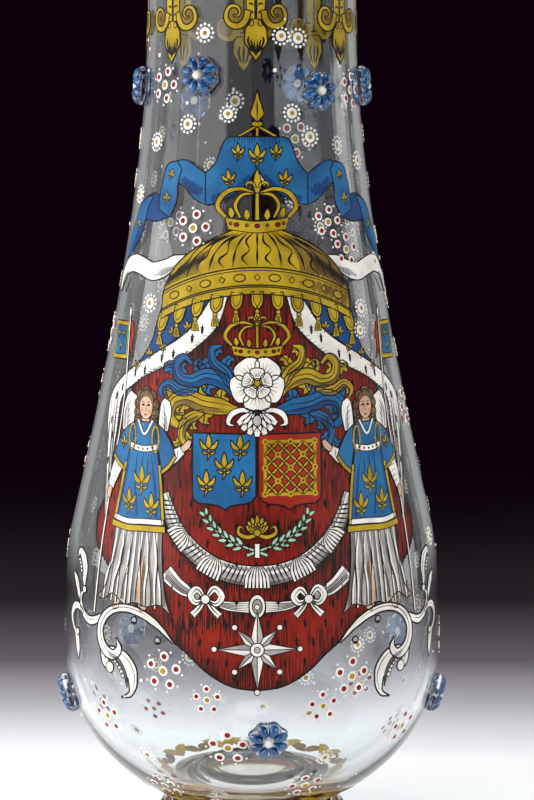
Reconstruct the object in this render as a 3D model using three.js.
// A free-standing carafe of blown clear glass: a tall club-shaped vessel with an open, slightly
// flared mouth and a pushed-up base, a spreading foot ring, and two girdles of applied glass
// rosettes (prunts), six round the neck and five round the belly.
// Millimetres, +Z up, the front towards -Y, the origin under the middle of the foot ring.
import * as THREE from "three";

// Driving dimensions of the blown vessel, from the belly upwards
const BELLY_RADIUS = 66.6;
const BELLY_DEPTH = 58.4; // from the widest level down to where the round bottom would end
const TAPER_RADIUS = 59.4; // radius where the belly has become an even taper
const TAPER_RISE = 64.5; // widest level up to that place
const TAPER_SLOPE = 0.22; // radius lost per millimetre of height there
const NECK_RADIUS = 36.1;
const NECK_RISE = 160.9; // from that place up to the neck's narrowest level
const MOUTH_RADIUS = 41;
const MOUTH_RISE = 45.1; // from the narrowest level up to the lip

// How far each curve of the outline keeps to the direction that it starts with
const BELLY_HOLD = 39.4;
const TAPER_HOLD_BELOW = 25.3;
const TAPER_HOLD_ABOVE = 50.1;
const NECK_HOLD_BELOW = 52.4;
const NECK_HOLD_ABOVE = 20;
const MOUTH_FLARE_RUN = 2.5;
const MOUTH_FLARE_RISE = 16;

// Glass thickness, and the pushed-up base
const NECK_WALL = 2.8;
const BELLY_WALL = 3.2;
const BASE_WALL = 5;
const KICK_RADIUS = 17; // flat middle of the pushed-up base, underneath
const KICK_SHOULDER = 4; // width of its rounded shoulder
const KICK_RISE = 8; // from the bottom of the round belly up to that flat

// Foot ring
const FOOT_RADIUS = 38.5;
const FOOT_RIM_HEIGHT = 5;
const FOOT_RIM_ROUND = 1; // how far the rounded edge swells out past the tread
const FOOT_SWEEP_HEIGHT = 6; // level that the hollow sweep down from the seat heads for
const FOOT_BORE_MARGIN = 0.5; // between the pushed-up base's shoulder and the foot's bore
const FOOT_SEAT_WIDTH = 8.5; // width of the ring of glass that joins the round bottom
const FOOT_TREAD_WIDTH = 7; // the flat ring that it stands on
const FOOT_HOLLOW_HEIGHT = 4.5;
const BODY_LIFT = 9.1; // level of the round bottom over the table

// Applied rosettes
const PRUNT_RADIUS = 6.9;
const PRUNT_PAD_HEIGHT = 2.6; // in the middle
const PRUNT_PAD_FALL = 0.9; // how much lower the pad is at its edge
const PRUNT_PETALS = 8;
const PETAL_RISE = 1.5;
const PETAL_NOTCH = 0.6; // how far the outline draws in between two petals
const BOSS_RADIUS = 1.8;
const BOSS_RISE = 0.9;
const NECK_GIRDLE_DROP = 28; // below the neck's narrowest level
const BELLY_GIRDLE_DROP = 16.5; // below the belly's widest level
const SEAT_GAP = 0.3; // between the vessel and what is laid on it

// Where the rosettes sit: degrees from the front, and millimetres over their girdle's level.
// They were laid on by hand, so neither the steps nor the levels are even.
const NECK_PRUNTS = [
  [-85, 0],
  [-27, 2.2],
  [37.5, -1.6],
  [83, 0],
  [153, 2.2],
  [-145, -4],
];
const BELLY_PRUNTS = [
  [-84, 1],
  [4.7, -0.5],
  [84, 1],
  [122, 13.5],
  [-135, 12],
];

// Facets
const ROUND_STEPS = 48;
const PETAL_STEPS = 4;
const SEAT_STEPS = 4;
const LIP_STEPS = 6;

// Rings of a rosette, from its seat out over the edge to the top: share of the radius, share of the
// height there
const PRUNT_RINGS = [
  [0.55, 0],
  [0.93, 0],
  [1, 0.35],
  [0.96, 0.9],
  [0.76, 1],
  [0.5, 1],
  [0.25, 1],
];

// Levels, counted up from the table
const bellyLevel = BODY_LIFT + BELLY_DEPTH;
const taperLevel = bellyLevel + TAPER_RISE;
const neckLevel = taperLevel + NECK_RISE;
const mouthLevel = neckLevel + MOUTH_RISE;
const kickLevel = BODY_LIFT + KICK_RISE;

// The foot's bore clears the pushed-up base, and its seat lies round that bore
const kickEdge = KICK_RADIUS + KICK_SHOULDER;
const footBore = kickEdge + FOOT_BORE_MARGIN;
const footSeat = footBore + FOOT_SEAT_WIDTH;

const at = (radius, height) => new THREE.Vector2(radius, height);

// The upper outline, from the widest level to the lip, as three cubic curves that meet smoothly.
// The insets draw the same curves inside a wall, from its thickness at the belly to that at the neck.
function upperCurves(bellyInset, neckInset) {
  const taperInset = (bellyInset + neckInset) / 2;
  const belly = at(BELLY_RADIUS - bellyInset, bellyLevel);
  const taper = at(TAPER_RADIUS - taperInset, taperLevel);
  const neck = at(NECK_RADIUS - neckInset, neckLevel);
  const mouth = at(MOUTH_RADIUS - neckInset, mouthLevel - NECK_WALL / 2);
  return [
    new THREE.CubicBezierCurve(
      belly,
      at(belly.x, belly.y + BELLY_HOLD),
      at(taper.x + TAPER_SLOPE * TAPER_HOLD_BELOW, taper.y - TAPER_HOLD_BELOW),
      taper,
    ),
    new THREE.CubicBezierCurve(
      taper,
      at(taper.x - TAPER_SLOPE * TAPER_HOLD_ABOVE, taper.y + TAPER_HOLD_ABOVE),
      at(neck.x, neck.y - NECK_HOLD_BELOW),
      neck,
    ),
    new THREE.CubicBezierCurve(
      neck,
      at(neck.x, neck.y + NECK_HOLD_ABOVE),
      at(mouth.x - MOUTH_FLARE_RUN, mouth.y - MOUTH_FLARE_RISE),
      mouth,
    ),
  ];
}

// The round bottom: a quarter ellipse from a given radius out to the widest level.
function lowerCurve(inset, baseInset, fromRadius) {
  const across = BELLY_RADIUS - inset;
  const down = BELLY_DEPTH - baseInset;
  const start = -Math.acos(Math.min(fromRadius / across, 1));
  return new THREE.EllipseCurve(0, bellyLevel, across, down, start, 0, false);
}

// Points along a run of curves, without repeating where one ends and the next begins.
function along(curves, steps) {
  return curves.flatMap((curve, i) => curve.getPoints(steps[i]).slice(i ? 1 : 0));
}

// Height of the round bottom's outside at a radius.
function undersideHeight(radius) {
  return bellyLevel - BELLY_DEPTH * Math.sqrt(1 - (radius / BELLY_RADIUS) ** 2);
}

// The pushed-up base, as an S-shaped shoulder between a flat middle and the round bottom.
function kickShoulder(flatRadius, flatHeight, end) {
  const bend = (end.x - flatRadius) / 2;
  return new THREE.CubicBezierCurve(
    at(flatRadius, flatHeight),
    at(flatRadius + bend, flatHeight),
    at(end.x - bend, end.y),
    end,
  );
}

// A closed outline turned about +Z.
function turned(outline, steps) {
  return new THREE.LatheGeometry(outline, steps).rotateX(Math.PI / 2);
}

function vesselGeometry() {
  const underside = lowerCurve(0, 0, kickEdge);
  const outerShoulder = kickShoulder(KICK_RADIUS, kickLevel, underside.getPoint(0));
  const outer = along([outerShoulder, underside, ...upperCurves(0, 0)], [4, 12, 5, 7, 4]);
  // Inside, the wall is thinnest at the neck and thickest at the base.
  const floor = lowerCurve(BELLY_WALL, BASE_WALL, kickEdge + KICK_SHOULDER);
  const innerShoulder = kickShoulder(KICK_RADIUS, kickLevel + BASE_WALL, floor.getPoint(0));
  const inner = along(
    [innerShoulder, floor, ...upperCurves(BELLY_WALL, NECK_WALL)],
    [4, 9, 5, 7, 4],
  );
  // The lip is melted round: a half circle from the outer wall over to the inner one.
  const lip = new THREE.EllipseCurve(
    MOUTH_RADIUS - NECK_WALL / 2,
    mouthLevel - NECK_WALL / 2,
    NECK_WALL / 2,
    NECK_WALL / 2,
    0,
    Math.PI,
    false,
  );
  const outline = [
    at(0, kickLevel),
    ...outer,
    ...lip.getPoints(LIP_STEPS).slice(1, -1),
    ...inner.reverse(),
    at(0, kickLevel + BASE_WALL),
  ];
  return turned(outline, ROUND_STEPS);
}

function footGeometry() {
  const edge = FOOT_RADIUS - FOOT_RIM_ROUND / 2;
  const treadInner = edge - FOOT_TREAD_WIDTH;
  // The seat follows the vessel's round bottom, a hair below it.
  const seat = [];
  for (let i = 0; i <= SEAT_STEPS; i++) {
    const radius = THREE.MathUtils.lerp(footBore, footSeat, i / SEAT_STEPS);
    seat.push(at(radius, undersideHeight(radius) - SEAT_GAP));
  }
  const seatEdge = seat[SEAT_STEPS];
  // From the seat the foot sweeps out in a hollow curve to a rounded rim.
  const sweep = new THREE.QuadraticBezierCurve(
    seatEdge,
    at((seatEdge.x + edge) / 2, FOOT_SWEEP_HEIGHT),
    at(edge, FOOT_RIM_HEIGHT),
  );
  const rim = new THREE.QuadraticBezierCurve(
    at(edge, FOOT_RIM_HEIGHT),
    at(edge + FOOT_RIM_ROUND, FOOT_RIM_HEIGHT / 2),
    at(edge, 0),
  );
  const hollow = new THREE.QuadraticBezierCurve(
    at(treadInner, 0),
    at((treadInner + footBore) / 2, FOOT_HOLLOW_HEIGHT),
    at(footBore, FOOT_HOLLOW_HEIGHT),
  );
  const outline = [
    ...hollow.getPoints(3),
    ...seat,
    ...sweep.getPoints(5).slice(1),
    ...rim.getPoints(4).slice(1),
    at(treadInner, 0),
  ];
  return turned(outline.reverse(), ROUND_STEPS);
}

// The vessel's outside as a finely stepped line, to seat things on it at any height.
const outside = along([lowerCurve(0, 0, footSeat), ...upperCurves(0, 0)], [80, 80, 120, 60]);

// Radius of the vessel's outside at a height, and how fast it changes there.
function outsideAt(height) {
  const last = outside.length - 1;
  const i = THREE.MathUtils.clamp(outside.findIndex((p) => p.y > height), 1, last);
  const [low, high] = [outside[i - 1], outside[i]];
  const slope = (high.x - low.x) / (high.y - low.y);
  return { radius: low.x + slope * (height - low.y), slope };
}

// A point that lies a distance proud of the vessel, reached from (angle, height) by going across
// round the glass and up along it.
function onVessel(angle, height, across, up, proud) {
  const here = outsideAt(height);
  const level = height + up / Math.hypot(1, here.slope);
  const { radius, slope } = outsideAt(level);
  const turn = angle + across / radius;
  const normal = new THREE.Vector3(Math.sin(turn), -Math.cos(turn), -slope).normalize();
  return new THREE.Vector3(radius * Math.sin(turn), -radius * Math.cos(turn), level).addScaledVector(
    normal,
    proud,
  );
}

// A rosette's outline radius at an angle round it: full at each petal, drawn in between two.
function rosetteRadius(turn) {
  return PRUNT_RADIUS - (PETAL_NOTCH * (1 - Math.cos(PRUNT_PETALS * turn))) / 2;
}

// A rosette's height at a share of its radius: a low dome, a petal's swell and a boss in the middle.
function rosetteHeight(share, turn) {
  const dome = PRUNT_PAD_HEIGHT - PRUNT_PAD_FALL * share ** 2;
  const acrossPetal = Math.sqrt(Math.abs(Math.cos((PRUNT_PETALS / 2) * turn)));
  const swell = PETAL_RISE * acrossPetal * Math.sin(Math.PI * share);
  const boss = BOSS_RISE * Math.max(0, 1 - (share * PRUNT_RADIUS) / BOSS_RADIUS);
  return dome + swell + boss;
}

// A rosette is a stack of rings, from the middle of its seat out over the rim to the boss on top.
function pruntGeometry(angleDegrees, height) {
  const angle = THREE.MathUtils.degToRad(angleDegrees);
  const steps = PRUNT_PETALS * PETAL_STEPS;
  const vertices = [onVessel(angle, height, 0, 0, SEAT_GAP)];
  for (const [share, heightShare] of PRUNT_RINGS)
    for (let i = 0; i < steps; i++) {
      const turn = (2 * Math.PI * i) / steps;
      const reach = share * rosetteRadius(turn);
      const proud = SEAT_GAP + heightShare * rosetteHeight(share, turn);
      vertices.push(
        onVessel(angle, height, reach * Math.cos(turn), reach * Math.sin(turn), proud),
      );
    }
  vertices.push(onVessel(angle, height, 0, 0, SEAT_GAP + rosetteHeight(0, 0)));
  const top = vertices.length - 1;
  const index = [];
  for (let i = 0; i < steps; i++) {
    const next = (i + 1) % steps;
    index.push(0, 1 + next, 1 + i);
    for (let ring = 0; ring < PRUNT_RINGS.length - 1; ring++) {
      const [low, high] = [1 + ring * steps, 1 + (ring + 1) * steps];
      index.push(low + i, low + next, high + next, low + i, high + next, high + i);
    }
    const last = 1 + (PRUNT_RINGS.length - 1) * steps;
    index.push(last + i, last + next, top);
  }
  const geometry = new THREE.BufferGeometry().setFromPoints(vertices);
  geometry.setIndex(index);
  geometry.computeVertexNormals();
  return geometry;
}

const clearGlass = new THREE.MeshStandardMaterial({
  color: 0xd9e2e4,
  roughness: 0.03,
  metalness: 0,
  transparent: true,
  opacity: 0.35,
});
const amberGlass = new THREE.MeshStandardMaterial({ color: 0x9a5a1c, roughness: 0.12, metalness: 0 });
const blueEnamel = new THREE.MeshStandardMaterial({ color: 0x2d5fae, roughness: 0.1, metalness: 0 });

const carafe = new THREE.Group();

function add(name, geometry, material) {
  const mesh = new THREE.Mesh(geometry, material);
  mesh.name = name;
  carafe.add(mesh);
}

add("vessel", vesselGeometry(), clearGlass);
add("foot_ring", footGeometry(), amberGlass);
NECK_PRUNTS.forEach(([angle, lift], i) => {
  const level = neckLevel - NECK_GIRDLE_DROP + lift;
  add(`neck_prunt_${i + 1}`, pruntGeometry(angle, level), blueEnamel);
});
BELLY_PRUNTS.forEach(([angle, lift], i) => {
  const level = bellyLevel - BELLY_GIRDLE_DROP + lift;
  add(`belly_prunt_${i + 1}`, pruntGeometry(angle, level), blueEnamel);
});

export default carafe;
